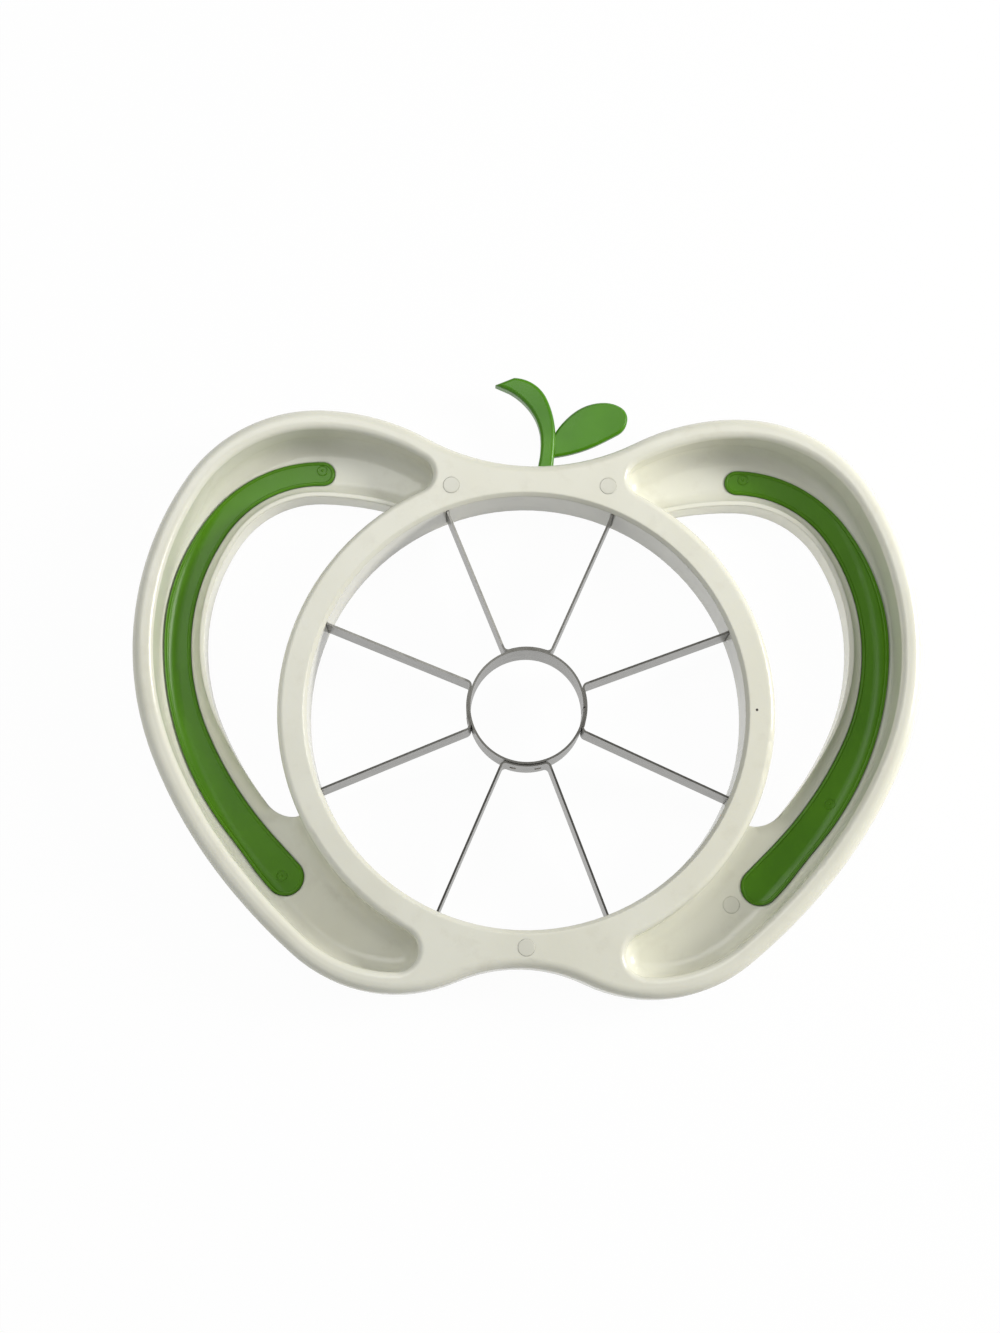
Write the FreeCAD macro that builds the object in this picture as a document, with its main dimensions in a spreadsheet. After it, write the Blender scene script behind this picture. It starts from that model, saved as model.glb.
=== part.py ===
# Hand-pushed apple slicer and corer: one moulded frame, eight wedge blades, a core ring and green trim.
# Millimetres, +Z up from the board, +Y towards the stem, origin at the middle of the footprint.
import FreeCAD, Part
import math
import os

V = FreeCAD.Vector

# Driving sizes: name, value, what it is
SIZES = [
    ("ring_bore_radius", 52.6, "inside of the cutting ring"),
    ("ring_wall", 7.15, "thickness of the cutting ring"),
    ("ring_height", 15.0, "board to the face of the ring"),
    ("ring_lip_chamfer", 0.9, "bevel round the upper edge of the bore"),
    ("waist_wall", 0.75, "ring to the outline behind the stem"),
    ("waist_foot_wall", 1.65, "ring to the outline opposite the stem"),
    ("shoulder_across", 51.0, "centre line to the highest point of a lobe"),
    ("shoulder_rise", 13.55, "ring up to the highest point of a lobe"),
    ("side_reach", 34.75, "ring out to the widest point of a lobe"),
    ("side_up", 15.5, "ring centre to the widest point of a lobe"),
    ("flank_inset", 22.2, "widest point in to the middle of the tapering flank"),
    ("flank_down", 40.6, "ring centre down to the middle of the flank"),
    ("flank_heading", -129.0, "direction of the outline there"),
    ("foot_across", 30.5, "centre line to the lowest point of a lobe"),
    ("foot_drop", 8.25, "ring down to the lowest point of a lobe"),
    ("rim_rise", 5.0, "face of the ring to the rim at the sides"),
    ("rim_flat", 28.0, "half width over which the rim is level with the ring"),
    ("rim_width", 5.0, "thickness of the outer wall of a handle"),
    ("rim_outer_round", 2.4, "rounding outside the rim"),
    ("rim_inner_round", 1.5, "rounding inside the rim"),
    ("foot_round", 4.0, "rounding under the outer wall"),
    ("trough_floor", 3.5, "board to the floor of a trough"),
    ("trough_round", 4.0, "hollow between the floor and the walls of a trough"),
    ("trough_corner", 1.5, "rounding of the re-entrant corners of a trough"),
    ("trough_head", 4.5, "end radius of a trough beside the stem"),
    ("trough_toe", 5.2, "end radius of a trough opposite the stem"),
    ("lip_width", 1.2, "low lip between a trough and the finger hole"),
    ("lip_height", 8.0, "board to the top of that lip"),
    ("hole_tip_angle", 57.5, "where the finger hole starts on the ring"),
    ("hole_toe_angle", -25.5, "where the finger hole ends on the ring"),
    ("hole_top_outset", 0.5, "highest point of a lobe out to that of the hole"),
    ("handle_width_top", 20.3, "outline to the hole at the top of a lobe"),
    ("handle_width_side", 15.9, "outline to the hole at the widest point"),
    ("hole_side_up", 17.5, "ring centre to the widest point of the hole"),
    ("hole_flank_inset", 16.6, "widest point of the hole in to its lower end"),
    ("hole_flank_down", 23.0, "ring centre down to the lower end of the hole"),
    ("hole_flank_heading", -129.5, "direction of the hole's edge there"),
    ("grip_gap", 3.8, "hole's edge to the grip"),
    ("grip_width_top", 6.0, "grip width at its upper end"),
    ("grip_width_side", 6.2, "grip width beside the widest point"),
    ("grip_width_flank", 8.0, "grip width on the flank"),
    ("grip_width_end", 9.0, "grip width at its lower end"),
    ("grip_end_inset", 15.1, "middle of the flank in to the grip's lower end"),
    ("grip_end_rise", 0.2, "middle of the flank up to the grip's lower end"),
    ("grip_end_heading", -134.0, "direction of the grip there"),
    ("grip_recess", 1.2, "depth that the grip is let into the trough"),
    ("grip_proud", 0.4, "height that the grip stands out of the trough"),
    ("grip_clearance", 0.1, "gap round and under the grip"),
    ("strip_turn", 90.0, "turn from one blade strip to the next"),
    ("blade_half_angle", 22.5, "half of the angle between neighbouring blades"),
    ("blade_thick", 0.5, "strip thickness"),
    ("blade_tall", 11.5, "strip height"),
    ("blade_bend", 1.2, "bend beside the core ring, on the strip's middle line"),
    ("blade_seat", 3.0, "length of a blade's end held in the ring"),
    ("blade_cover", 1.2, "ring face down to the blade's end"),
    ("blade_rise", 5.4, "rise of a blade from the ring to the core"),
    ("blade_clearance", 0.08, "gap round a blade's end in its slot"),
    ("core_radius", 13.9, "outside of the core ring"),
    ("core_wall", 0.5, "wall of the core ring"),
    ("core_tall", 13.0, "height of the core ring"),
    ("core_stands_out", 0.6, "core ring above the blades' upper edge"),
    ("core_seam", 0.3, "open seam of the rolled core ring"),
    ("weld_gap", 0.02, "core ring to the strips welded round it"),
    ("stem_level", 8.0, "board to the middle of the stem"),
    ("stem_thick", 4.2, "stem thickness"),
    ("stem_width", 3.9, "stem width at the frame"),
    ("stem_round", 0.9, "rounding of the stem"),
    ("stem_across", 2.65, "centre line to the middle of the stem at the frame"),
    ("stem_root", 3.0, "length of the stem's root held in the frame"),
    ("stem_clearance", 0.05, "gap round the root in its pocket"),
    ("stem_bend_rise", 7.6, "frame to the stem's furthest point to the right"),
    ("stem_bend_across", 1.4, "stem's right side at the frame out to that point"),
    ("stem_rise", 23.5, "frame to the top of the stem"),
    ("stem_sweep", 4.5, "centre line back to the top of the stem"),
    ("stem_bend_width", 3.6, "stem width at that point"),
    ("stem_tip_across", 9.1, "centre line back to the stem's tip"),
    ("stem_tip_drop", 2.0, "top of the stem down to its tip"),
    ("stem_tip_width", 3.6, "width of the slanted tip"),
    ("stem_tip_slant", -23.0, "direction of the slanted tip"),
    ("leaf_sink", 0.5, "depth of the leaf's foot in the stem"),
    ("leaf_foot_rise", 3.6, "frame to the lower side of the leaf's foot"),
    ("leaf_foot_width", 5.4, "width of the leaf's foot"),
    ("leaf_thick", 2.2, "leaf thickness"),
    ("leaf_bevel", 0.5, "bevel round the leaf"),
    ("leaf_top_across", 18.2, "centre line to the leaf's highest point"),
    ("leaf_top_rise", 17.8, "frame to the leaf's highest point"),
    ("leaf_tip_across", 23.8, "centre line to the leaf's tip"),
    ("leaf_tip_rise", 13.6, "frame to the leaf's tip"),
    ("leaf_belly_across", 17.2, "centre line to the middle of the leaf's lower edge"),
    ("leaf_belly_rise", 7.4, "frame to the middle of the leaf's lower edge"),
]

doc = FreeCAD.newDocument("AppleSlicer")
sheet = doc.addObject("Spreadsheet::Sheet", "Sizes")
for row, (alias, value, note) in enumerate(SIZES, start=1):
    sheet.set("A%d" % row, note)
    sheet.set("B%d" % row, str(value))
    sheet.setAlias("B%d" % row, alias)
doc.recompute()


def size(alias):
    return float(sheet.get(alias))


# Plan geometry: tangent arcs through points with a heading

def heading(degrees):
    turn = math.radians(degrees)
    return V(math.cos(turn), math.sin(turn), 0)


def polar(radius, degrees, centre=V(0, 0, 0)):
    return centre + heading(degrees) * radius


def bearing(point, centre=V(0, 0, 0)):
    return math.degrees(math.atan2(point.y - centre.y, point.x - centre.x))


def arc_about(centre, radius, start, end, clockwise=True):
    """Arc about a centre between two bearings, the short or long way as the sense says."""
    while clockwise and end > start:
        end -= 360
    while not clockwise and end < start:
        end += 360
    middle = (start + end) / 2
    return Part.Arc(polar(radius, start, centre), polar(radius, middle, centre), polar(radius, end, centre))


def arc_from(start, along, end):
    """Arc that leaves start along a direction and ends at end."""
    chord = end - start
    normal = V(-along.y, along.x, 0)
    lean = normal.dot(chord)
    if abs(lean) < 1e-6:
        return Part.LineSegment(start, end)
    radius = chord.dot(chord) / (2 * lean)
    centre = start + normal * radius
    return arc_about(centre, abs(radius), bearing(start, centre), bearing(end, centre), radius < 0)


def joining_arcs(first, second):
    """Two tangent arcs between two plan nodes (point, heading)."""
    start, end = first[0], second[0]
    leave, arrive = heading(first[1]), heading(second[1])
    chord = end - start
    spread = 2 * (1 - leave.dot(arrive))
    reach = chord.dot(leave + arrive)
    if spread < 1e-9:
        arm = chord.dot(chord) / (2 * reach)
    else:
        arm = (math.sqrt(reach * reach + spread * chord.dot(chord)) - reach) / spread
    meet = (start + end + (leave - arrive) * arm) * 0.5
    across = (end - arrive * arm) - (start + leave * arm)
    across.normalize()
    return [arc_from(start, leave, meet), arc_from(meet, across, end)]


def curve_through(nodes):
    arcs = []
    for first, second in zip(nodes, nodes[1:]):
        arcs += joining_arcs(first, second)
    return arcs


def moved_left(nodes, widths):
    """Nodes moved square to their heading, to the left of it."""
    return [(point + heading(turn + 90) * width, turn) for (point, turn), width in zip(nodes, widths)]


def circle_of(arc):
    curve = arc.toShape().Curve
    return V(curve.Center.x, curve.Center.y, 0), curve.Radius


def meeting(first, first_radius, second, second_radius, left):
    """One of the two points where two circles cross."""
    apart = second - first
    span = apart.Length
    along = (first_radius ** 2 - second_radius ** 2 + span ** 2) / (2 * span)
    aside = math.sqrt(first_radius ** 2 - along ** 2)
    unit = apart * (1 / span)
    square = V(-unit.y, unit.x, 0)
    return first + unit * along + square * (aside if left else -aside)


# Right-hand half of the plan, clockwise from the stem

RING_OUTER = "(Sizes.ring_bore_radius + Sizes.ring_wall)"
RIM_HEIGHT = "(Sizes.ring_height + Sizes.rim_rise)"


def ring_outer():
    return size("ring_bore_radius") + size("ring_wall")


def waist_top():
    return ring_outer() + size("waist_wall")


def side_across():
    return ring_outer() + size("side_reach")


def outline_nodes():
    """Outline of a lobe: points and headings from the stem to the foot."""
    flank = V(side_across() - size("flank_inset"), -size("flank_down"), 0)
    return [
        (V(0, waist_top(), 0), 0),
        (V(size("shoulder_across"), ring_outer() + size("shoulder_rise"), 0), 0),
        (V(side_across(), size("side_up"), 0), -90),
        (flank, size("flank_heading")),
        (V(size("foot_across"), -ring_outer() - size("foot_drop"), 0), -180),
        (V(0, -ring_outer() - size("waist_foot_wall"), 0), -180),
    ]


def hole_nodes():
    """Handle's inner edge beside the finger hole."""
    top, side = OUTLINE[1][0], OUTLINE[2][0]
    hole_side = side.x - size("handle_width_side")
    return [
        (V(top.x + size("hole_top_outset"), top.y - size("handle_width_top"), 0), 0),
        (V(hole_side, size("hole_side_up"), 0), -90),
        (V(hole_side - size("hole_flank_inset"), -size("hole_flank_down"), 0), size("hole_flank_heading")),
    ]


OUTLINE = outline_nodes()
HOLE = hole_nodes()


def hole_plan():
    """Finger hole: the handle's inner edge, a round toe and the outside of the ring."""
    ring = ring_outer()
    tip = polar(ring, size("hole_tip_angle"))
    toe = polar(ring, size("hole_toe_angle"))
    lead_in = arc_from(HOLE[0][0], V(-1, 0, 0), tip)
    end, turn = HOLE[-1]
    round_toe = arc_from(end, heading(turn), toe)
    ring_side = arc_about(V(0, 0, 0), ring, size("hole_toe_angle"), size("hole_tip_angle"), False)
    return [lead_in] + curve_through(HOLE) + [round_toe, ring_side]


TOE_OVERLAP = 1.5    # degrees by which a trough runs past the toe of its finger hole


def trough_plan(grow):
    """Trough between the rim, the ring and the lip of the finger hole, grown all round by a step."""
    ring = ring_outer() - grow
    inset = size("rim_width") - grow
    head, toe = size("trough_head") + grow, size("trough_toe") + grow
    rail = moved_left(OUTLINE[1:5], [-inset] * 4)
    head_centre, head_radius = circle_of(joining_arcs(OUTLINE[0], OUTLINE[1])[1])
    toe_centre, toe_radius = circle_of(joining_arcs(OUTLINE[4], OUTLINE[5])[0])
    head_radius, toe_radius = head_radius - inset, toe_radius - inset
    origin = V(0, 0, 0)
    head_end = meeting(origin, ring + head, head_centre, head_radius - head, True)
    toe_end = meeting(origin, ring + toe, toe_centre, toe_radius - toe, False)
    head_turn = bearing(head_end, head_centre)
    toe_turn = bearing(toe_end, toe_centre)
    lip = size("lip_width") + grow
    lip_nodes = moved_left(HOLE, [lip, lip, grow])
    lead_centre, lead_radius = circle_of(hole_plan()[0])
    lead_radius += lip
    tip = meeting(origin, ring, lead_centre, lead_radius, True)
    crossing = size("hole_toe_angle") + TOE_OVERLAP
    lead_start, lead_end = bearing(lip_nodes[0][0], lead_centre), bearing(tip, lead_centre)
    rim_side = [arc_about(head_centre, head_radius, head_turn, bearing(rail[0][0], head_centre))]
    rim_side += curve_through(rail)
    foot = [
        arc_about(toe_centre, toe_radius, bearing(rail[-1][0], toe_centre), toe_turn),
        arc_about(toe_end, toe, toe_turn, bearing(toe_end) + 180),
        arc_about(origin, ring, bearing(toe_end), crossing, False),
    ]
    lip_side = [Part.LineSegment(polar(ring, crossing), lip_nodes[-1][0])] + curve_through(lip_nodes)
    lip_side.append(arc_about(lead_centre, lead_radius, lead_start, lead_end, False))
    head_side = [
        arc_about(origin, ring, bearing(tip), bearing(head_end), False),
        arc_about(head_end, head, bearing(head_end) + 180, head_turn),
    ]
    return rim_side + foot + lip_side + head_side, [tip, polar(ring, crossing), lip_nodes[-1][0]]


def grip_plan(grow):
    """Grip band along the trough with round ends, grown all round by a step."""
    gap = size("grip_gap")
    widths = [size("grip_width_" + place) for place in ("top", "side", "flank")]
    middle = moved_left(HOLE, [gap + width / 2 for width in widths])
    flank = OUTLINE[3][0]
    end_point = V(flank.x - size("grip_end_inset"), flank.y + size("grip_end_rise"), 0)
    middle.append((end_point, size("grip_end_heading")))
    widths.append(size("grip_width_end"))
    outer = moved_left(middle, [width / 2 + grow for width in widths])
    inner = moved_left(middle, [-width / 2 - grow for width in widths])
    start, start_turn = middle[0]
    end, end_turn = middle[-1]
    start_tip = start - heading(start_turn) * (widths[0] / 2 + grow)
    end_tip = end + heading(end_turn) * (widths[-1] / 2 + grow)
    return curve_through(outer) + curve_through(inner) + [
        Part.Arc(inner[0][0], start_tip, outer[0][0]),
        Part.Arc(inner[-1][0], end_tip, outer[-1][0]),
    ]


# Document helpers

def bind(thing, link, formula):
    thing.setExpression(link, formula)


def named_piece(piece, label):
    """Names a finished piece and moves it so that the footprint's middle is the origin."""
    piece.Label = label
    bind(piece, "Placement.Base.y", "(Sizes.foot_drop - Sizes.waist_wall - Sizes.stem_rise) / 2")
    return piece


def plan_sketch(name, curves, level=None):
    """Sketch in the board's plane, lifted to a level from the sheet."""
    sketch = doc.addObject("Sketcher::SketchObject", name)
    sketch.addGeometry(curves, False)
    if level:
        bind(sketch, "Placement.Base.z", level)
    return sketch


def extrusion(name, sketch, length):
    solid = doc.addObject("Part::Extrusion", name)
    solid.Base = sketch
    solid.DirMode = "Normal"
    solid.Solid = True
    bind(solid, "LengthFwd", length)
    return solid


def mirrored(name, source):
    other = doc.addObject("Part::Mirroring", name)
    other.Source = source
    other.Normal = V(1, 0, 0)
    return other


def fused(name, shapes):
    union = doc.addObject("Part::MultiFuse", name)
    union.Shapes = shapes
    return union


def cut(name, base, tool):
    result = doc.addObject("Part::Cut", name)
    result.Base = base
    result.Tool = tool
    return result


def common(name, base, tool):
    result = doc.addObject("Part::Common", name)
    result.Base = base
    result.Tool = tool
    return result


def rounded(name, base, radius, wanted):
    """Fillet of the edges that a test picks."""
    doc.recompute()
    chosen = [number for number, edge in enumerate(base.Shape.Edges, start=1) if wanted(edge)]
    result = doc.addObject("Part::Fillet", name)
    result.Base = base
    result.Edges = [(number, radius, radius) for number in chosen]
    return result


def bevelled(name, base, width, wanted):
    """Chamfer of the edges that a test picks."""
    doc.recompute()
    chosen = [number for number, edge in enumerate(base.Shape.Edges, start=1) if wanted(edge)]
    result = doc.addObject("Part::Chamfer", name)
    result.Base = base
    result.Edges = [(number, width, width) for number in chosen]
    return result


def samples(edge):
    span = edge.LastParameter - edge.FirstParameter
    return [edge.valueAt(edge.FirstParameter + span * step / 6) for step in range(7)]


def at_level(level):
    return lambda edge: all(abs(point.z - level) < 0.01 for point in samples(edge))


def upright_at(corners):
    def wanted(edge):
        points = samples(edge)
        flat = [V(point.x, point.y, 0) for point in points]
        if points[0].distanceToPoint(points[-1]) < 0.5:
            return False
        return any(all(point.distanceToPoint(corner) < 0.02 for point in flat) for corner in corners)
    return wanted


# Frame: apple-shaped blank, two troughs with finger holes, the ring, then roundings

def rim_level(across):
    """Height of the rim at a distance from the centre line."""
    run = side_across() - size("rim_flat")
    rise = size("rim_rise")
    sweep = (run ** 2 + rise ** 2) / (2 * rise)
    beyond = max(0.0, abs(across) - size("rim_flat"))
    return size("ring_height") + sweep - math.sqrt(sweep ** 2 - beyond ** 2)


def above_rim():
    """Everything above the rim: a level line over the ring that sweeps up to each side."""
    inner, outer = size("rim_flat"), side_across() + size("rim_width")
    low, sky = size("ring_height"), 3 * (size("ring_height") + size("rim_rise"))
    high, half_way = rim_level(outer), (inner + outer) / 2
    corners = [V(outer, high, 0), V(outer, sky, 0), V(-outer, sky, 0), V(-outer, high, 0)]
    right = Part.Arc(V(inner, low, 0), V(half_way, rim_level(half_way), 0), corners[0])
    left = Part.Arc(corners[3], V(-half_way, rim_level(half_way), 0), V(-inner, low, 0))
    lines = [Part.LineSegment(first, second) for first, second in zip(corners, corners[1:])]
    sketch = doc.addObject("Sketcher::SketchObject", "RimLine")
    sketch.addGeometry([Part.LineSegment(V(-inner, low, 0), V(inner, low, 0)), right] + lines + [left], False)
    sketch.Placement = FreeCAD.Placement(V(0, 0, 0), FreeCAD.Rotation(V(1, 0, 0), 90))
    solid = doc.addObject("Part::Extrusion", "AboveRim")
    solid.Base = sketch
    solid.DirMode = "Normal"
    solid.Solid = True
    solid.Symmetric = True
    bind(solid, "LengthFwd", "(%s + Sizes.side_reach) * 2" % RING_OUTER)
    return solid


def trough_tool(name, grow, grow_cell):
    """Solid that fills one trough, with its floor rounded into its walls."""
    curves, corners = trough_plan(grow)
    sketch = plan_sketch(name + "Plan", curves, "Sizes.trough_floor - (%s)" % grow_cell)
    prism = extrusion(name + "Prism", sketch, "2 * " + RIM_HEIGHT)
    eased = rounded(name + "Corners", prism, size("trough_corner"), upright_at(corners))
    floor = at_level(size("trough_floor") - grow)
    return rounded(name, eased, size("trough_round"), floor)


def lip_tool():
    """Solid over the lip and the finger hole, clear of the ring."""
    plan = plan_sketch("LipPlan", hole_plan(), "Sizes.lip_height")
    wider = doc.addObject("Part::Offset2D", "LipOffset")
    wider.Source = plan
    bind(wider, "Value", "Sizes.lip_width * 2.5")
    prism = extrusion("LipPrism", wider, "2 * " + RIM_HEIGHT)
    ring = doc.addObject("Part::Cylinder", "LipStop")
    bind(ring, "Radius", RING_OUTER)
    bind(ring, "Height", "4 * " + RIM_HEIGHT)
    return cut("LipCut", prism, ring)


def outline_edges(level):
    half = Part.Wire([arc.toShape() for arc in curve_through(OUTLINE)])
    whole = Part.Compound([half, half.mirror(V(0, 0, 0), V(1, 0, 0))])

    def wanted(edge):
        points = samples(edge)
        if any(abs(point.z - level(point.x)) > 0.02 for point in points):
            return False
        return all(whole.distToShape(Part.Vertex(point.x, point.y, 0))[0] < 0.02 for point in points)
    return wanted


def moulded_frame():
    right = curve_through(OUTLINE)
    left = [arc.toShape().mirror(V(0, 0, 0), V(1, 0, 0)).Edges[0] for arc in right]
    left = [Part.Arc(*[samples(edge)[place] for place in (0, 3, 6)]) for edge in left]
    blank = extrusion("Blank", plan_sketch("Outline", right + left), "2 * " + RIM_HEIGHT)
    swept = cut("SweptBlank", blank, above_rim())
    trough = trough_tool("Trough", 0.0, "0")
    hole = extrusion("FingerHole", plan_sketch("HolePlan", hole_plan(), "-1"), "2 * " + RIM_HEIGHT)
    lip = lip_tool()
    bore = doc.addObject("Part::Cylinder", "Bore")
    bind(bore, "Radius", "Sizes.ring_bore_radius")
    bind(bore, "Height", "2 * " + RIM_HEIGHT)
    over = doc.addObject("Part::Cylinder", "OverRing")
    bind(over, "Radius", RING_OUTER)
    bind(over, "Height", RIM_HEIGHT)
    bind(over, "Placement.Base.z", "Sizes.ring_height")
    sides = []
    for tool in (trough, hole, lip):
        sides += [tool, mirrored(tool.Name + "Left", tool)]
    shaped = swept
    for tool in sides + [bore, over]:
        shaped = cut("Less" + tool.Name, shaped, tool)
    shaped = bevelled("BoreLip", shaped, size("ring_lip_chamfer"), bore_edge)
    shaped = rounded("RimOutside", shaped, size("rim_outer_round"), outline_edges(rim_level))
    shaped = rounded("Underside", shaped, size("foot_round"), outline_edges(lambda across: 0.0))
    return rounded("RimInside", shaped, size("rim_inner_round"), trough_mouth_edges)


def bore_edge(edge):
    """Upper edge of the ring's bore."""
    if not at_level(size("ring_height"))(edge):
        return False
    return all(abs(math.hypot(point.x, point.y) - size("ring_bore_radius")) < 0.02 for point in samples(edge))


def trough_mouth_edges(edge):
    """Edges round the mouth of either trough, on the rim and on the ring."""
    points = samples(edge)
    if any(abs(point.z - rim_level(point.x)) > 0.02 for point in points):
        return False
    mouth = Part.Wire(Part.__sortEdges__([curve.toShape() for curve in trough_plan(0.0)[0]]))
    return all(mouth.distToShape(Part.Vertex(abs(point.x), point.y, 0))[0] < 0.02 for point in points)


# Soft grips: a layer that follows the hollow of the trough, let into it with a clearance

def grip_band(name, grow):
    sketch = plan_sketch(name + "Plan", grip_plan(grow), "0")
    return extrusion(name + "Prism", sketch, "Sizes.lip_height + 4")


def grip_layers():
    """The frame's recess and the grip that lies in it, for the right-hand side."""
    recess, proud, gap = size("grip_recess"), size("grip_proud"), size("grip_clearance")
    recess_floor = trough_tool("RecessFloor", recess, "Sizes.grip_recess")
    recess_tool = common("GripRecess", recess_floor, grip_band("RecessBand", gap))
    under = trough_tool("GripUnder", recess - gap, "Sizes.grip_recess - Sizes.grip_clearance")
    over = trough_tool("GripOver", -proud, "-Sizes.grip_proud")
    sheet_of_grip = cut("GripLayer", under, over)
    grip = common("GripBody", sheet_of_grip, grip_band("GripBand", 0.0))
    return recess_tool, grip


# Cutting parts: strips bent round the core ring and welded to it

BLADE_AT_CORE = "(Sizes.ring_height - Sizes.blade_cover + Sizes.blade_rise)"
STRIPS = ("right", "top", "left", "bottom")
RUN_OUT = 2.0    # length by which a cutting shape runs past the solid


def origin_plane(body, role):
    return [feature for feature in body.Origin.OriginFeatures if feature.Role == role][0]


def body_sketch(body, name, curves, role="XY_Plane"):
    sketch = body.newObject("Sketcher::SketchObject", name)
    sketch.AttachmentSupport = [(origin_plane(body, role), "")]
    sketch.MapMode = "FlatFace"
    sketch.addGeometry(curves, False)
    return sketch


def pad(body, name, sketch, length):
    solid = body.newObject("PartDesign::Pad", name)
    solid.Profile = sketch
    bind(solid, "Length", length)
    body.Tip = solid
    return solid


def bent_arm(sign, side, hug, bend, reach):
    """One side of a strip's arm: the bend beside the core ring and the straight run to the ring."""
    half_angle = size("blade_half_angle")
    lean = math.degrees(math.asin(bend / (hug + bend)))
    start = math.sqrt((hug + bend) ** 2 - bend ** 2)
    place = sign * (half_angle - lean)
    radius = bend - side
    centre = polar(hug + bend, place)
    arm, inward = heading(sign * half_angle), heading(sign * (half_angle - 90))
    touch = arm * start + inward * side
    contact = centre - heading(place) * radius
    middle = centre + ((contact - centre) + (touch - centre)).normalize() * radius
    return [Part.Arc(contact, middle, touch), Part.LineSegment(touch, arm * reach + inward * side)]


def strip_plan():
    """Closed outline of one strip seen from above, its two arms either side of +X."""
    half = size("blade_thick") / 2
    half_angle = size("blade_half_angle")
    hug = size("core_radius") + size("weld_gap") + half
    bend = size("blade_bend")
    reach = size("ring_bore_radius") + size("blade_seat")
    place = half_angle - math.degrees(math.asin(bend / (hug + bend)))
    curves = []
    for side in (-half, half):
        curves.append(arc_about(V(0, 0, 0), hug + side, -place, place, False))
        for sign in (1, -1):
            curves += bent_arm(sign, side, hug, bend, reach)
    for sign in (1, -1):
        end = heading(sign * half_angle) * reach
        inward = heading(sign * (half_angle - 90)) * half
        curves.append(Part.LineSegment(end - inward, end + inward))
    return curves


def closed_outline(points):
    return [Part.LineSegment(first, second) for first, second in zip(points, points[1:] + points[:1])]


def blade_levels():
    """Upper edge of a blade at the ring and at the core."""
    at_ring = size("ring_height") - size("blade_cover")
    return at_ring, at_ring + size("blade_rise")


def blade_edge_profiles():
    """What is turned off above and below a strip, as radius and height."""
    at_ring, at_core = blade_levels()
    tall = size("blade_tall")
    near, far = size("core_radius") - RUN_OUT, size("ring_bore_radius")
    wide = far + size("blade_seat") + RUN_OUT
    flat = size("core_radius") + size("blade_bend") + 2 * size("blade_thick")
    line = [(near, at_core), (flat, at_core), (far, at_ring), (wide, at_ring)]
    above = [V(radius, level, 0) for radius, level in line]
    below = [V(radius, level - tall, 0) for radius, level in line]
    sky, ground = at_core + RUN_OUT, -RUN_OUT
    return {
        "Back": above + [V(wide, sky, 0), V(near, sky, 0)],
        "Edge": below + [V(wide, ground, 0), V(near, ground, 0)],
    }


def blade_strip(number, label):
    body = doc.addObject("PartDesign::Body", "Strip%d" % number)
    pad(body, "Bent%d" % number, body_sketch(body, "Bend%d" % number, strip_plan()), BLADE_AT_CORE + " + 1")
    for name, points in blade_edge_profiles().items():
        profile = body_sketch(body, "%s%d" % (name, number), closed_outline(points), "XZ_Plane")
        groove = body.newObject("PartDesign::Groove", "%sCut%d" % (name, number))
        groove.Profile = profile
        groove.ReferenceAxis = (profile, ["V_Axis"])
        groove.Angle = 360
        body.Tip = groove
    bind(body, "Placement.Rotation.Angle", "%d * Sizes.strip_turn" % number)
    return named_piece(body, label)


def core_ring():
    """Rolled strip with an open seam, standing a little above and below the blades."""
    body = doc.addObject("PartDesign::Body", "Core")
    outer, wall = size("core_radius"), size("core_wall")
    open_half = math.degrees(size("core_seam") / 2 / outer)
    ends = [(polar(outer - wall, turn), polar(outer, turn)) for turn in (open_half, -open_half)]
    curves = [Part.LineSegment(first, second) for first, second in ends]
    for radius in (outer, outer - wall):
        curves.append(arc_about(V(0, 0, 0), radius, open_half, 360 - open_half, False))
    sketch = body_sketch(body, "CoreStrip", curves)
    bind(sketch, "AttachmentOffset.Base.z", BLADE_AT_CORE + " + Sizes.core_stands_out - Sizes.core_tall")
    pad(body, "CoreWall", sketch, "Sizes.core_tall")
    return named_piece(body, "core_ring")


def blade_slots():
    """Closed pockets in the ring that hold the ends of the strips."""
    gap = size("blade_clearance")
    level = blade_levels()[0] - size("blade_tall") - gap
    slots = []
    for number in range(len(STRIPS)):
        for side in (-1, 1):
            turn = number * size("strip_turn") + side * size("blade_half_angle")
            slot = doc.addObject("Part::Box", "Slot")
            bind(slot, "Length", "Sizes.blade_seat + Sizes.blade_clearance + %s" % RUN_OUT)
            bind(slot, "Width", "Sizes.blade_thick + 2 * Sizes.blade_clearance")
            bind(slot, "Height", "Sizes.blade_tall + 2 * Sizes.blade_clearance")
            aside = heading(turn + 90) * (size("blade_thick") / 2 + gap)
            spot = polar(size("ring_bore_radius") - RUN_OUT, turn) - aside
            spot.z = level
            slot.Placement = FreeCAD.Placement(spot, FreeCAD.Rotation(V(0, 0, 1), turn))
            slots.append(slot)
    return fused("BladeSlots", slots)


# Stem and leaf: one flat moulding whose root sits in a pocket behind the ring

def stem_outline():
    """Curved stem, from its root up its right side, over the slanted tip and down the left side."""
    seat = waist_top()
    top = seat + size("stem_rise")
    root = seat - size("stem_root")
    half = size("stem_width") / 2
    foot_right, foot_left = size("stem_across") + half, size("stem_across") - half
    bend = V(foot_right + size("stem_bend_across"), seat + size("stem_bend_rise"), 0)
    tip = V(-size("stem_tip_across"), top - size("stem_tip_drop"), 0)
    slant = polar(size("stem_tip_width"), size("stem_tip_slant"), tip)
    right = [(V(foot_right, root, 0), 70), (bend, 88), (V(-size("stem_sweep"), top, 0), 180)]
    left = [(slant, -28), (bend - V(size("stem_bend_width"), 0, 0), -88), (V(foot_left, root, 0), -110)]
    ends = [(right[-1][0], tip), (tip, slant), (left[-1][0], right[0][0])]
    return curve_through(right) + curve_through(left) + [Part.LineSegment(*pair) for pair in ends]


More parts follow.
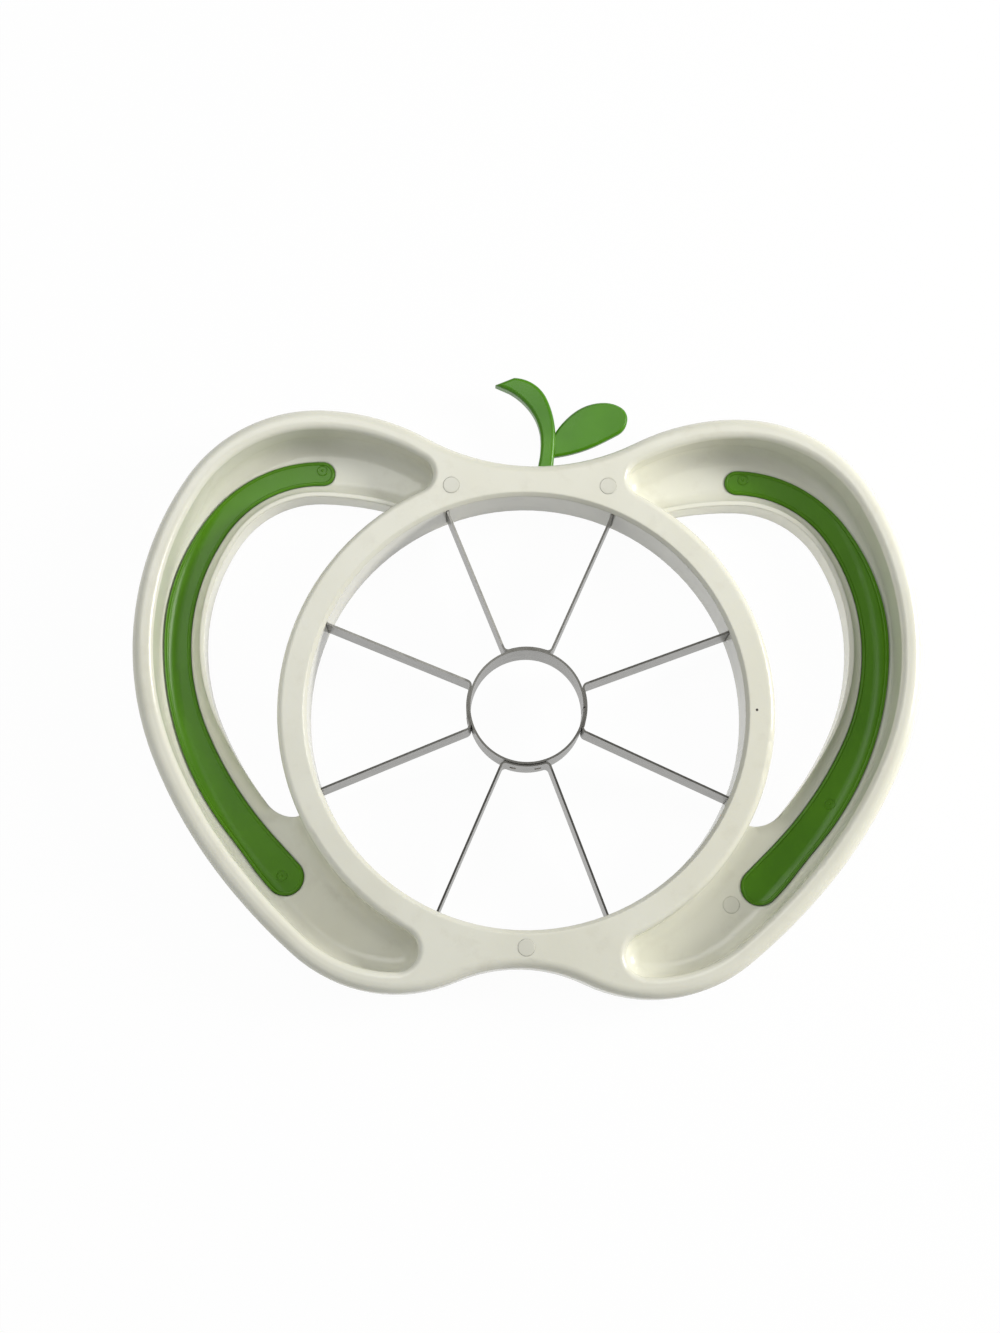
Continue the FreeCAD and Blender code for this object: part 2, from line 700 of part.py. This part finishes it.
def leaf_outline():
    seat = waist_top()
    across = size("stem_across") + size("stem_width") / 2 + size("stem_bend_across") - size("leaf_sink")
    foot = V(across, seat + size("leaf_foot_rise"), 0)
    foot_top = foot + V(0, size("leaf_foot_width"), 0)
    tip = (V(size("leaf_tip_across"), seat + size("leaf_tip_rise"), 0), -92)
    upper = [(foot_top, 62), (V(size("leaf_top_across"), seat + size("leaf_top_rise"), 0), 0), tip]
    lower = [tip, (V(size("leaf_belly_across"), seat + size("leaf_belly_rise"), 0), -152), (foot, -172)]
    return curve_through(upper) + curve_through(lower) + [Part.LineSegment(foot, foot_top)]


def eased(body, kind, name, width, alias, wanted):
    """Fillet or chamfer of a body's latest feature."""
    doc.recompute()
    base = body.Tip
    numbers = [number for number, edge in enumerate(base.Shape.Edges, start=1) if wanted(edge)]
    feature = body.newObject("PartDesign::" + kind, name)
    feature.Base = (base, ["Edge%d" % number for number in numbers])
    bind(feature, width, "Sizes." + alias)
    body.Tip = feature
    return feature


def flat_side_edges(thickness):
    """Edges of both flat sides of a moulding about the stem's level."""
    levels = [size("stem_level") + side * size(thickness) / 2 for side in (-1, 1)]
    return lambda edge: any(at_level(level)(edge) for level in levels)


def flat_moulding(name, curves, thickness):
    """Body of an even thickness about the stem's level."""
    body = doc.addObject("PartDesign::Body", name)
    sketch = body_sketch(body, name + "Outline", curves)
    bind(sketch, "AttachmentOffset.Base.z", "Sizes.stem_level")
    pad(body, name + "Pad", sketch, "Sizes." + thickness).SideType = "Symmetric"
    return body


def stem_and_leaf():
    stalk = flat_moulding("Stalk", stem_outline(), "stem_thick")
    eased(stalk, "Fillet", "StalkRound", "Radius", "stem_round", flat_side_edges("stem_thick"))
    leaf = flat_moulding("Leaf", leaf_outline(), "leaf_thick")
    eased(leaf, "Chamfer", "LeafBevel", "Size", "leaf_bevel", flat_side_edges("leaf_thick"))
    return named_piece(fused("StemAndLeaf", [stalk, leaf]), "stem_and_leaf")


def stem_pocket():
    """Pocket for the root in the outer wall behind the ring: the stem's own outline and a clearance."""
    level = "Sizes.stem_level - Sizes.stem_thick / 2 - Sizes.stem_clearance"
    wider = doc.addObject("Part::Offset2D", "PocketOutline")
    wider.Source = plan_sketch("PocketPlan", stem_outline(), level)
    bind(wider, "Value", "Sizes.stem_clearance")
    return extrusion("StemPocket", wider, "Sizes.stem_thick + 2 * Sizes.stem_clearance")


shaped = moulded_frame()
recess, grip = grip_layers()
for tool in (recess, mirrored("GripRecessLeft", recess), blade_slots(), stem_pocket()):
    shaped = cut("With" + tool.Name, shaped, tool)
doc.recompute()
right_grip = named_piece(grip, "right_grip")
left_grip = mirrored("GripBodyLeft", right_grip)
left_grip.Label = "left_grip"
frame = named_piece(shaped, "frame")
strips = [blade_strip(number, "blade_strip_" + place) for number, place in enumerate(STRIPS)]
core = core_ring()
stem = stem_and_leaf()
doc.recompute()

pieces = [frame, left_grip, right_grip, core, stem] + strips
faulty = [thing.Name for thing in doc.Objects if "Invalid" in thing.State or "Error" in thing.State]
if faulty:
    raise RuntimeError("not built: " + ", ".join(faulty))
os.makedirs("parts", exist_ok=True)
for piece in pieces:
    shape = piece.Shape
    if shape.isNull() or not shape.isValid():
        raise RuntimeError("bad shape: " + piece.Label)
    shape.exportStep("parts/%s.step" % piece.Label)
    box = shape.BoundBox
    print(piece.Label, len(shape.Solids), round(shape.Volume, 1),
          [round(edge, 2) for edge in (box.XMin, box.XMax, box.YMin, box.YMax, box.ZMin, box.ZMax)])
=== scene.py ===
# Apple slicer: plastic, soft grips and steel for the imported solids, with small moulded and welded details.
import math

import bpy
from mathutils import Matrix, Vector
from mathutils.bvhtree import BVHTree


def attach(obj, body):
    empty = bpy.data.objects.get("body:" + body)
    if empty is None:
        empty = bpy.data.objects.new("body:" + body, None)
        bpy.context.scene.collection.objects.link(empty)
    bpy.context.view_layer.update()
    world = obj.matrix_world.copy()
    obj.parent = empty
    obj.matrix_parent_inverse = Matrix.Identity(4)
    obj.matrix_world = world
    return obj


MM = 0.001

# The photograph's camera: millimetres from the ring's centre, tilts in radians, the tool's turn in degrees
FRAME_HEIGHT = 1333
FOCAL_PIXELS = 2238.0
SENSOR = 36.0
CAMERA_FROM_RING = (-11.2, -83.3, 543.822)
CAMERA_PITCH = -0.1752
CAMERA_YAW = 0.0092
CAMERA_CLIP = (0.01, 20.0)
PART_SPIN = 1.158

# Small details: places in millimetres on the part
GATE_MARKS = {"left_grip": ((-51.6, 52.6), (-58.0, -48.2)), "right_grip": ((53.0, 52.6), (74.2, -28.0))}
EJECTOR_MARKS = ((18.9, 47.4), (-19.3, 46.8), (1.0, -64.7), (50.4, -52.9))
SPECKS = ((55.2, -7.0),)
RING_CENTRE = (0.0, -8.0)

# Middle line of the right grip from the ring's centre: place, heading in degrees, width
GRIP_NODES = ((51.5, 59.8, 0.0, 6.0), (85.5, 17.5, -90.0, 6.2), (68.02, -27.96, -129.5, 8.0),
              (57.2, -40.4, -134.0, 9.0))
BORDER_INSET = 0.5
BORDER_RADIUS = 0.42
BORDER_SINK = 0.2
BORDER_STEP = 0.8

# Spot welds between the strips and the core ring
STRIP_HEADINGS = (0.0, 90.0, 180.0, 270.0)
WELD_SPREAD = 12.0
WELD_LEVEL = 13.4
STRIP_FACE_RADIUS = 14.42

# Sizes of each kind of mark
GATE_MARK = {"Mark radius": 1.2 * MM, "Line radius": 0.16 * MM, "Dome radius": 0.35 * MM,
             "Dome height": 0.18 * MM}
EJECTOR_MARK = {"Mark radius": 2.1 * MM, "Line radius": 0.02 * MM, "Dome radius": 2.05 * MM,
                "Dome height": 0.012 * MM}
SPECK = {"Mark radius": 0.2 * MM, "Line radius": 0.05 * MM, "Dome radius": 0.32 * MM,
         "Dome height": 0.04 * MM}
SPOT_WELD = {"Mark radius": 0.75 * MM, "Line radius": 0.07 * MM, "Dome radius": 0.6 * MM,
             "Dome height": 0.08 * MM}

# How finely the round details are divided
BEAD_SIDES = 10
RING_POINTS = 40
RING_SIDES = 8
DOME_SEGMENTS = 24
DOME_RINGS = 12

# Edges eased in the shading
EDGE_SAMPLES = 6
MOULDED_EDGE = 0.6 * MM
MARK_EDGE = 0.05 * MM
GRIP_EDGE = 0.3 * MM
TRIM_EDGE = 0.4 * MM

# Colours as 8-bit display values
FRESH_IVORY, AGED_IVORY, SCUFFED_IVORY = (228, 228, 216), (216, 215, 199), (186, 180, 160)
GRIP_GREEN, DEEP_GRIP_GREEN, RUBBED_GREEN = (82, 138, 4), (64, 116, 3), (108, 160, 34)
LEAF_GREEN, DEEP_LEAF_GREEN = (78, 140, 5), (64, 122, 4)
BRIGHT_STEEL, DULL_STEEL = (122, 121, 116), (82, 80, 75)
PALE_WELD, BURNT_WELD = (150, 143, 130), (92, 84, 74)
PALE_SPECK, DARK_SPECK = (70, 62, 52), (40, 35, 30)
BOARD_PAPER = (240, 240, 238)

# Studio: metres and watts
WARM, COOL, PLAIN = (1.0, 0.98, 0.94), (0.92, 0.96, 1.0), (1.0, 1.0, 1.0)
LIGHTS = (("key", (0.66, 0.14, 0.36), 0.26, 5.4, WARM),
          ("top", (-0.15, 0.35, 0.75), 0.45, 1.7, PLAIN),
          ("fill", (-0.60, -0.30, 0.45), 0.70, 0.7, COOL))
LIGHT_AIM = Vector((0.0, 0.0, 0.0))
ROOM_COLOUR = (0.98, 0.98, 0.96, 1.0)
ROOM_STRENGTH = 0.30
BOARD_HALF = 3.0
BOARD_GLOW = 0.97

# Slots of the colour Mix node
MIX_SHARE, MIX_FIRST, MIX_SECOND, MIX_COLOUR = 0, 6, 7, 2

# Search from above, and the turn below which an arc counts as straight
RAY_HEIGHT = 0.1
STRAIGHT = 1e-6


# Shader maths as Python expressions

class Socket:
    """A node's output, or a number, that adds Math nodes when it is calculated with."""

    def __init__(self, material, link):
        self.material = material
        self.link = link

    def maths(self, operation, *others):
        values = [other.link if isinstance(other, Socket) else other for other in (self,) + others]
        return self.material.node("ShaderNodeMath", {"operation": operation}, dict(enumerate(values)))

    def __add__(self, other):
        return self.maths("ADD", other)

    def __mul__(self, other):
        return self.maths("MULTIPLY", other)

    def clipped(self, low, high):
        """Share from 0 at the low value to 1 at the high one."""
        ends = {0: self.link, 1: low, 2: high, 3: 0.0, 4: 1.0}
        return self.material.node("ShaderNodeMapRange", {"clamp": True}, ends)

    __radd__ = __add__
    __rmul__ = __mul__


class Finish:
    """A node-based material on object coordinates."""

    def __init__(self, name):
        self.material = bpy.data.materials.new(name)
        self.material.use_nodes = True
        self.tree = self.material.node_tree
        self.shader = self.tree.nodes["Principled BSDF"]
        self.place = self.node("ShaderNodeTexCoord", {}, {}, "Object")

    def node(self, kind, settings, inputs, output=0):
        made = self.tree.nodes.new(kind)
        for name, value in settings.items():
            setattr(made, name, value)
        for key, value in inputs.items():
            self.feed(made.inputs[key], value)
        return Socket(self, made.outputs[output])

    def feed(self, socket, value):
        value = value.link if isinstance(value, Socket) else value
        if isinstance(value, bpy.types.NodeSocket):
            self.tree.links.new(value, socket)
        else:
            socket.default_value = value

    def noise(self, scale, detail=2.0, roughness=0.5, stretch=None):
        place = self.place
        if stretch:
            place = self.node("ShaderNodeMapping", {}, {"Vector": place, "Scale": stretch})
        return self.node("ShaderNodeTexNoise", {}, {"Vector": place, "Scale": scale, "Detail": detail,
                                                    "Roughness": roughness})

    def blend(self, share, first, second):
        colours = {MIX_SHARE: share, MIX_FIRST: first, MIX_SECOND: second}
        return self.node("ShaderNodeMix", {"data_type": "RGBA"}, colours, MIX_COLOUR)

    def eased_edges(self, radius):
        return self.node("ShaderNodeBevel", {"samples": EDGE_SAMPLES}, {"Radius": radius})

    def bump(self, height, distance, strength=1.0, under=None):
        inputs = {"Height": height, "Distance": distance, "Strength": strength}
        if under:
            inputs["Normal"] = under
        return self.node("ShaderNodeBump", {}, inputs)

    def finish(self, **values):
        for name, value in values.items():
            self.feed(self.shader.inputs[name.replace("_", " ")], value)
        return self.material


def srgb(shown):
    """Linear colour with alpha from 8-bit display values."""
    channels = [value / 255 for value in shown]
    linear = [c / 12.92 if c <= 0.04045 else ((c + 0.055) / 1.055) ** 2.4 for c in channels]
    return (*linear, 1.0)


def ivory_plastic(name, edge_radius):
    """Glossy moulded plastic, a little yellowed in places, with a soft orange peel and eased edges."""
    skin = Finish(name)
    clouds = skin.noise(28.0, 3.0, 0.55).clipped(0.35, 0.7)
    scuffs = skin.noise(160.0, 4.0, 0.65).clipped(0.56, 0.74)
    colour = skin.blend(clouds * 0.6, srgb(FRESH_IVORY), srgb(AGED_IVORY))
    colour = skin.blend(scuffs * 0.16, colour, srgb(SCUFFED_IVORY))
    edges = skin.eased_edges(edge_radius)
    peel = skin.bump(skin.noise(420.0, 2.0), 0.00005, 0.4, edges)
    peel = skin.bump(skin.noise(60.0, 2.0), 0.00025, 0.4, peel)
    return skin.finish(Base_Color=colour, Roughness=skin.noise(90.0, 3.0) * 0.14 + 0.15, Normal=peel,
                       Subsurface_Weight=0.12, Subsurface_Radius=(1.0, 0.9, 0.6), Subsurface_Scale=0.0015)


def green_grip():
    """Soft grip: satin, with fine moulding grain and a few lighter rubs."""
    skin = Finish("green_grip")
    clouds = skin.noise(45.0, 3.0).clipped(0.3, 0.72)
    rubs = skin.noise(300.0, 4.0, 0.7).clipped(0.58, 0.78)
    colour = skin.blend(clouds * 0.7, srgb(GRIP_GREEN), srgb(DEEP_GRIP_GREEN))
    colour = skin.blend(rubs * 0.16, colour, srgb(RUBBED_GREEN))
    edges = skin.eased_edges(GRIP_EDGE)
    grain = skin.bump(skin.noise(1500.0, 2.0), 0.00003, 0.5, edges)
    grain = skin.bump(skin.noise(110.0, 2.0), 0.00015, 0.4, grain)
    return skin.finish(Base_Color=colour, Roughness=skin.noise(120.0, 3.0) * 0.16 + 0.24, Normal=grain,
                       Specular_IOR_Level=0.32)


def green_plastic():
    """Moulded stem and leaf: glossier than the grips."""
    skin = Finish("green_plastic")
    clouds = skin.noise(70.0, 3.0).clipped(0.3, 0.7)
    colour = skin.blend(clouds, srgb(LEAF_GREEN), srgb(DEEP_LEAF_GREEN))
    edges = skin.eased_edges(TRIM_EDGE)
    peel = skin.bump(skin.noise(500.0, 2.0), 0.00004, 0.5, edges)
    return skin.finish(Base_Color=colour, Roughness=skin.noise(100.0, 2.0) * 0.14 + 0.22, Normal=peel,
                       Specular_IOR_Level=0.35)


def rolled_steel():
    """Rolled strip with fine lines along its length and faint marks."""
    skin = Finish("rolled_steel")
    lines = skin.noise(900.0, 3.0, 0.6, (0.05, 0.05, 6.0))
    spots = skin.noise(240.0, 4.0, 0.6).clipped(0.5, 0.75)
    colour = skin.blend(spots * 0.5, srgb(BRIGHT_STEEL), srgb(DULL_STEEL))
    drawn = skin.bump(lines, 0.00003, 0.5)
    return skin.finish(Base_Color=colour, Metallic=1.0, Roughness=lines * 0.2 + 0.22, Normal=drawn)


def weld_steel():
    """Spot weld: heat-darkened and rougher."""
    skin = Finish("weld_steel")
    burnt = skin.noise(1800.0, 3.0).clipped(0.35, 0.7)
    colour = skin.blend(burnt, srgb(PALE_WELD), srgb(BURNT_WELD))
    return skin.finish(Base_Color=colour, Metallic=1.0, Roughness=burnt * 0.2 + 0.35,
                       Normal=skin.bump(burnt, 0.00004))


def dark_speck():
    """Speck of burnt material moulded into the plastic."""
    skin = Finish("dark_speck")
    tone = skin.blend(skin.noise(2500.0, 2.0), srgb(PALE_SPECK), srgb(DARK_SPECK))
    return skin.finish(Base_Color=tone, Roughness=0.5)


# Geometry Nodes trees

class Tree:
    """A Geometry Nodes tree whose inputs have names."""

    def __init__(self, name, sizes):
        self.group = bpy.data.node_groups.new(name, "GeometryNodeTree")
        face = self.group.interface
        face.new_socket("Geometry", in_out="INPUT", socket_type="NodeSocketGeometry")
        self.sockets = {}
        for size in sizes:
            entry = face.new_socket(size, in_out="INPUT", socket_type="NodeSocketFloat")
            self.sockets[size] = entry.identifier
        finish = face.new_socket("Finish", in_out="INPUT", socket_type="NodeSocketMaterial")
        self.sockets["Finish"] = finish.identifier
        face.new_socket("Geometry", in_out="OUTPUT", socket_type="NodeSocketGeometry")
        self.source = self.group.nodes.new("NodeGroupInput").outputs

    def node(self, kind, settings, inputs, output=0):
        made = self.group.nodes.new(kind)
        for name, value in settings.items():
            setattr(made, name, value)
        for key, value in inputs.items():
            if isinstance(value, bpy.types.NodeSocket):
                self.group.links.new(value, made.inputs[key])
            else:
                made.inputs[key].default_value = value
        return made.outputs[output]

    def circle(self, points, radius):
        """Circle with the radius of a named input."""
        sizes = {"Resolution": points, "Radius": self.source[radius]}
        return self.node("GeometryNodeCurvePrimitiveCircle", {}, sizes)

    def close(self, geometry):
        """Ends the tree in real meshes with their finish."""
        real = self.node("GeometryNodeRealizeInstances", {}, {"Geometry": geometry})
        smooth = self.node("GeometryNodeSetShadeSmooth", {}, {"Geometry": real})
        dressed = self.node("GeometryNodeSetMaterial", {}, {"Geometry": smooth,
                                                            "Material": self.source["Finish"]})
        end = self.group.nodes.new("NodeGroupOutput")
        self.group.links.new(dressed, end.inputs[0])


def bead_tree():
    """Round bead along a closed line."""
    tree = Tree("Bead", ("Bead radius",))
    line = tree.node("GeometryNodeMeshToCurve", {}, {"Mesh": tree.source["Geometry"]})
    section = tree.circle(BEAD_SIDES, "Bead radius")
    bead = tree.node("GeometryNodeCurveToMesh", {}, {"Curve": line, "Profile Curve": section})
    tree.close(bead)
    return tree


def mark_tree():
    """Round witness mark at each point: a fine raised ring and a low dome inside it."""
    tree = Tree("Mark", ("Mark radius", "Line radius", "Dome radius", "Dome height"))
    ring = tree.circle(RING_POINTS, "Mark radius")
    section = tree.circle(RING_SIDES, "Line radius")
    ridge = tree.node("GeometryNodeCurveToMesh", {}, {"Curve": ring, "Profile Curve": section})
    ball = tree.node("GeometryNodeMeshUVSphere", {}, {"Segments": DOME_SEGMENTS, "Rings": DOME_RINGS,
                                                      "Radius": 1.0})
    shape = tree.node("ShaderNodeCombineXYZ", {}, {"X": tree.source["Dome radius"],
                                                   "Y": tree.source["Dome radius"],
                                                   "Z": tree.source["Dome height"]})
    dome = tree.node("GeometryNodeTransform", {}, {"Geometry": ball, "Scale": shape})
    both = tree.group.nodes.new("GeometryNodeJoinGeometry")
    tree.group.links.new(dome, both.inputs[0])
    tree.group.links.new(ridge, both.inputs[0])
    facing = tree.node("GeometryNodeInputNamedAttribute", {"data_type": "FLOAT_VECTOR"}, {"Name": "facing"})
    turn = tree.node("FunctionNodeAlignRotationToVector", {"axis": "Z"}, {"Vector": facing})
    marks = tree.node("GeometryNodeInstanceOnPoints", {}, {"Points": tree.source["Geometry"],
                                                           "Instance": both.outputs[0], "Rotation": turn})
    tree.close(marks)
    return tree


def grown(name, tree, seed_mesh, sizes, finish):
    """Runs a tree on a seed mesh and keeps the result as a plain mesh."""
    seed = bpy.data.objects.new(name + "_seed", seed_mesh)
    bpy.context.scene.collection.objects.link(seed)
    modifier = seed.modifiers.new("Grow", "NODES")
    modifier.node_group = tree.group
    for size, value in sizes.items():
        modifier[tree.sockets[size]] = value
    modifier[tree.sockets["Finish"]] = finish
    graph = bpy.context.evaluated_depsgraph_get()
    mesh = bpy.data.meshes.new_from_object(seed.evaluated_get(graph), depsgraph=graph)
    mesh.name = name
    bpy.data.objects.remove(seed)
    made = bpy.data.objects.new(name, mesh)
    bpy.context.scene.collection.objects.link(made)
    return made


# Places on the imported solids

def surface(node):
    """Search tree of a CAD node's mesh."""
    mesh = node.data
    corners = [vertex.co.copy() for vertex in mesh.vertices]
    return BVHTree.FromPolygons(corners, [list(face.vertices) for face in mesh.polygons])


def point_above(tree, across, along):
    """Topmost point of a surface at a place in millimetres, and its normal."""
    place, normal, _, _ = tree.ray_cast(Vector((across * MM, along * MM, RAY_HEIGHT)), Vector((0, 0, -1)))
    return place, normal


def seed_points(name, points):
    """Mesh of single points with the way that each mark faces."""
    mesh = bpy.data.meshes.new(name)
    mesh.from_pydata([place for place, _ in points], [], [])
    facing = mesh.attributes.new("facing", "FLOAT_VECTOR", "POINT")
    for entry, (_, normal) in zip(facing.data, points):
        entry.vector = normal
    return mesh


def heading_of(degrees):
    """Level direction of one unit."""
    return Vector((math.cos(math.radians(degrees)), math.sin(math.radians(degrees)), 0.0))


def arc_points(start, along, end, step):
    """Points on the arc that leaves start along a direction and ends at end, without the end itself."""
    chord = end - start
    normal = Vector((-along.y, along.x, 0.0))
    lean = normal.dot(chord)
    turn = 2 * math.atan2(lean, along.dot(chord))
    length = chord.length if abs(turn) < STRAIGHT else chord.length * turn / (2 * math.sin(turn / 2))
    count = max(2, round(abs(length) / step))
    points = []
    for number in range(count):
        part = turn * number / count
        reach = 2 * math.sin(part / 2) / turn if abs(turn) > STRAIGHT else number / count
        towards = Matrix.Rotation(part / 2, 3, "Z") @ along
        points.append(start + towards * reach * abs(length))
    return points


def rail_points(nodes, step):
    """Points along tangent arcs through nodes (place, heading)."""
    points = []
    for (start, first), (end, second) in zip(nodes, nodes[1:]):
        leave, arrive = heading_of(first), heading_of(second)
        chord = end - start
        spread = 2 * (1 - leave.dot(arrive))
        reach = chord.dot(leave + arrive)
        arm = (math.sqrt(reach * reach + spread * chord.dot(chord)) - reach) / spread
        meet = (start + end + (leave - arrive) * arm) * 0.5
        across = ((end - arrive * arm) - (start + leave * arm)).normalized()
        points += arc_points(start, leave, meet, step) + arc_points(meet, across, end, step)
    return points + [nodes[-1][0]]


def border_line(side):
    """Closed line inside a grip's edge, in millimetres on the part; side is 1 for the right grip."""
    rails = []
    for hand in (1, -1):
        rail = []
        for across, along, turn, width in GRIP_NODES:
            shift = heading_of(turn + 90) * hand * (width / 2 - BORDER_INSET)
            rail.append((Vector((across, along, 0.0)) + shift, turn))
        rails.append(rail_points(rail, BORDER_STEP))
    outer, inner = rails
    tail = arc_points(outer[-1], heading_of(GRIP_NODES[-1][2]), inner[-1], BORDER_STEP)
    head = arc_points(inner[0], heading_of(GRIP_NODES[0][2] + 180), outer[0], BORDER_STEP)
    line = outer[:-1] + tail + inner[:0:-1] + head
    centre = Vector((*RING_CENTRE, 0.0))
    return [Vector((side * point.x, point.y, 0.0)) + centre for point in line]


def add_border(grip, side, tree, skin, finish):
    """Raised bead round the edge of a grip, on the grip's own surface."""
    places = []
    for point in border_line(side):
        place, _ = point_above(skin, point.x, point.y)
        if place:
            places.append(place - Vector((0.0, 0.0, BORDER_SINK * MM)))
    mesh = bpy.data.meshes.new("border_line")
    count = len(places)
    mesh.from_pydata(places, [(number, (number + 1) % count) for number in range(count)], [])
    made = grown("border_" + grip, tree, mesh, {"Bead radius": BORDER_RADIUS * MM}, finish)
    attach(made, "root")


def add_marks(name, tree, points, sizes, finish):
    """One piece of round marks at the given points."""
    made = grown(name, tree, seed_points(name, points), sizes, finish)
    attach(made, "root")


# Studio

def white_stage():
    """Board under the part: white to the camera, to gloss and to glass, with a faint shadow."""
    finish = Finish("white_board")
    tree = finish.tree
    ray = tree.nodes.new("ShaderNodeLightPath")
    seen = Socket(finish, ray.outputs["Is Camera Ray"])
    mirrored = Socket(finish, ray.outputs["Is Glossy Ray"])
    through = Socket(finish, ray.outputs["Is Transmission Ray"])
    share = (seen + mirrored + through) * BOARD_GLOW
    glow = finish.node("ShaderNodeEmission", {}, {"Color": (1, 1, 1, 1), "Strength": 1.0})
    paper = finish.node("ShaderNodeBsdfDiffuse", {}, {"Color": srgb(BOARD_PAPER)})
    mixed = finish.node("ShaderNodeMixShader", {}, {0: share, 1: paper, 2: glow})
    tree.links.new(mixed.link, tree.nodes["Material Output"].inputs["Surface"])
    mesh = bpy.data.meshes.new("board")
    half = BOARD_HALF
    corners = [(-half, -half, 0), (half, -half, 0), (half, half, 0), (-half, half, 0)]
    mesh.from_pydata(corners, [], [(0, 1, 2, 3)])
    mesh.materials.append(finish.material)
    board = bpy.data.objects.new("board", mesh)
    bpy.context.scene.collection.objects.link(board)


def white_world():
    """Room light on the tool, with a white background to the camera only."""
    world = bpy.data.worlds.new("studio")
    bpy.context.scene.world = world
    world.use_nodes = True
    tree = world.node_tree
    tree.nodes.clear()
    ray = tree.nodes.new("ShaderNodeLightPath")
    soft = tree.nodes.new("ShaderNodeBackground")
    soft.inputs["Color"].default_value = ROOM_COLOUR
    soft.inputs["Strength"].default_value = ROOM_STRENGTH
    white = tree.nodes.new("ShaderNodeBackground")
    white.inputs["Strength"].default_value = 1.0
    mix = tree.nodes.new("ShaderNodeMixShader")
    end = tree.nodes.new("ShaderNodeOutputWorld")
    tree.links.new(ray.outputs["Is Camera Ray"], mix.inputs[0])
    tree.links.new(soft.outputs[0], mix.inputs[1])
    tree.links.new(white.outputs[0], mix.inputs[2])
    tree.links.new(mix.outputs[0], end.inputs["Surface"])


def area_light(name, place, size, power, colour):
    """Square lamp that faces the tool."""
    lamp = bpy.data.lights.new(name, "AREA")
    lamp.size = size
    lamp.energy = power
    lamp.color = colour
    holder = bpy.data.objects.new(name, lamp)
    holder.location = place
    holder.rotation_mode = "QUATERNION"
    holder.rotation_quaternion = (LIGHT_AIM - Vector(place)).to_track_quat("-Z", "Y")
    bpy.context.scene.collection.objects.link(holder)


def photo_camera():
    """Camera at the photograph's place, with its view turned to the tool's slight spin."""
    pitch, yaw = CAMERA_PITCH, CAMERA_YAW
    tilt = Matrix(((1, 0, 0), (0, math.cos(pitch), -math.sin(pitch)), (0, math.sin(pitch), math.cos(pitch))))
    swing = Matrix(((math.cos(yaw), 0, math.sin(yaw)), (0, 1, 0), (-math.sin(yaw), 0, math.cos(yaw))))
    lens = bpy.data.cameras.new("photo_camera")
    lens.sensor_width = SENSOR
    lens.lens = FOCAL_PIXELS / FRAME_HEIGHT * SENSOR
    lens.clip_start, lens.clip_end = CAMERA_CLIP
    camera = bpy.data.objects.new("photo_camera", lens)
    camera.rotation_mode = "QUATERNION"
    spin = Matrix.Rotation(math.radians(PART_SPIN), 3, "Z")
    camera.rotation_quaternion = (spin @ (tilt @ swing).transposed()).to_quaternion()
    camera.location = (spin @ Vector(CAMERA_FROM_RING) + Vector((*RING_CENTRE, 0.0))) * MM
    bpy.context.scene.collection.objects.link(camera)
    bpy.context.scene.camera = camera


# The tool, piece by piece

def dress_nodes(nodes, ivory, grip_green):
    """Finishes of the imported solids."""
    steel = rolled_steel()
    finishes = {"frame": ivory, "left_grip": grip_green, "right_grip": grip_green,
                "stem_and_leaf": green_plastic(), "core_ring": steel}
    for place in ("right", "top", "left", "bottom"):
        finishes["blade_strip_" + place] = steel
    for node, finish in finishes.items():
        mesh = nodes[node].data
        mesh.materials.clear()
        mesh.materials.append(finish)


def add_grip_details(nodes, bead, mark, grip_green):
    """Border line and gate marks of both grips."""
    for grip, places in GATE_MARKS.items():
        skin = surface(nodes[grip])
        add_border(grip, 1 if grip == "right_grip" else -1, bead, skin, grip_green)
        points = [point_above(skin, *spot) for spot in places]
        add_marks("gate_marks_" + grip, mark, points, GATE_MARK, grip_green)


def add_frame_details(nodes, mark):
    """Ejector pin marks and the speck on the ivory moulding."""
    skin = surface(nodes["frame"])
    pins = [point_above(skin, *spot) for spot in EJECTOR_MARKS]
    add_marks("ejector_marks", mark, pins, EJECTOR_MARK, ivory_plastic("ivory_marks", MARK_EDGE))
    spots = [point_above(skin, *spot) for spot in SPECKS]
    add_marks("specks", mark, spots, SPECK, dark_speck())


def add_welds(mark):
    """Two spot welds on each strip, where it meets the core ring."""
    welds = []
    for heading in STRIP_HEADINGS:
        for lean in (-WELD_SPREAD, WELD_SPREAD):
            out = heading_of(heading + lean)
            spot = out * STRIP_FACE_RADIUS + Vector((*RING_CENTRE, WELD_LEVEL))
            welds.append((spot * MM, out))
    add_marks("spot_welds", mark, welds, SPOT_WELD, weld_steel())


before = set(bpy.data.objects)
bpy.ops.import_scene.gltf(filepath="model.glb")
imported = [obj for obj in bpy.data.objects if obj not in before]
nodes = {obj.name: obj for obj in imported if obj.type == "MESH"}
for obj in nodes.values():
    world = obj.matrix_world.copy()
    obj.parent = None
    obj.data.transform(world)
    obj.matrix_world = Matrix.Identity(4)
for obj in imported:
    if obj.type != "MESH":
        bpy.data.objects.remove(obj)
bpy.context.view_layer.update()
grip_green = green_grip()
dress_nodes(nodes, ivory_plastic("ivory_plastic", MOULDED_EDGE), grip_green)

mark, bead = mark_tree(), bead_tree()
add_grip_details(nodes, bead, mark, grip_green)
add_frame_details(nodes, mark)
add_welds(mark)

white_stage()
white_world()
for light in LIGHTS:
    area_light(*light)
photo_camera()
bpy.context.scene.view_settings.view_transform = "Standard"
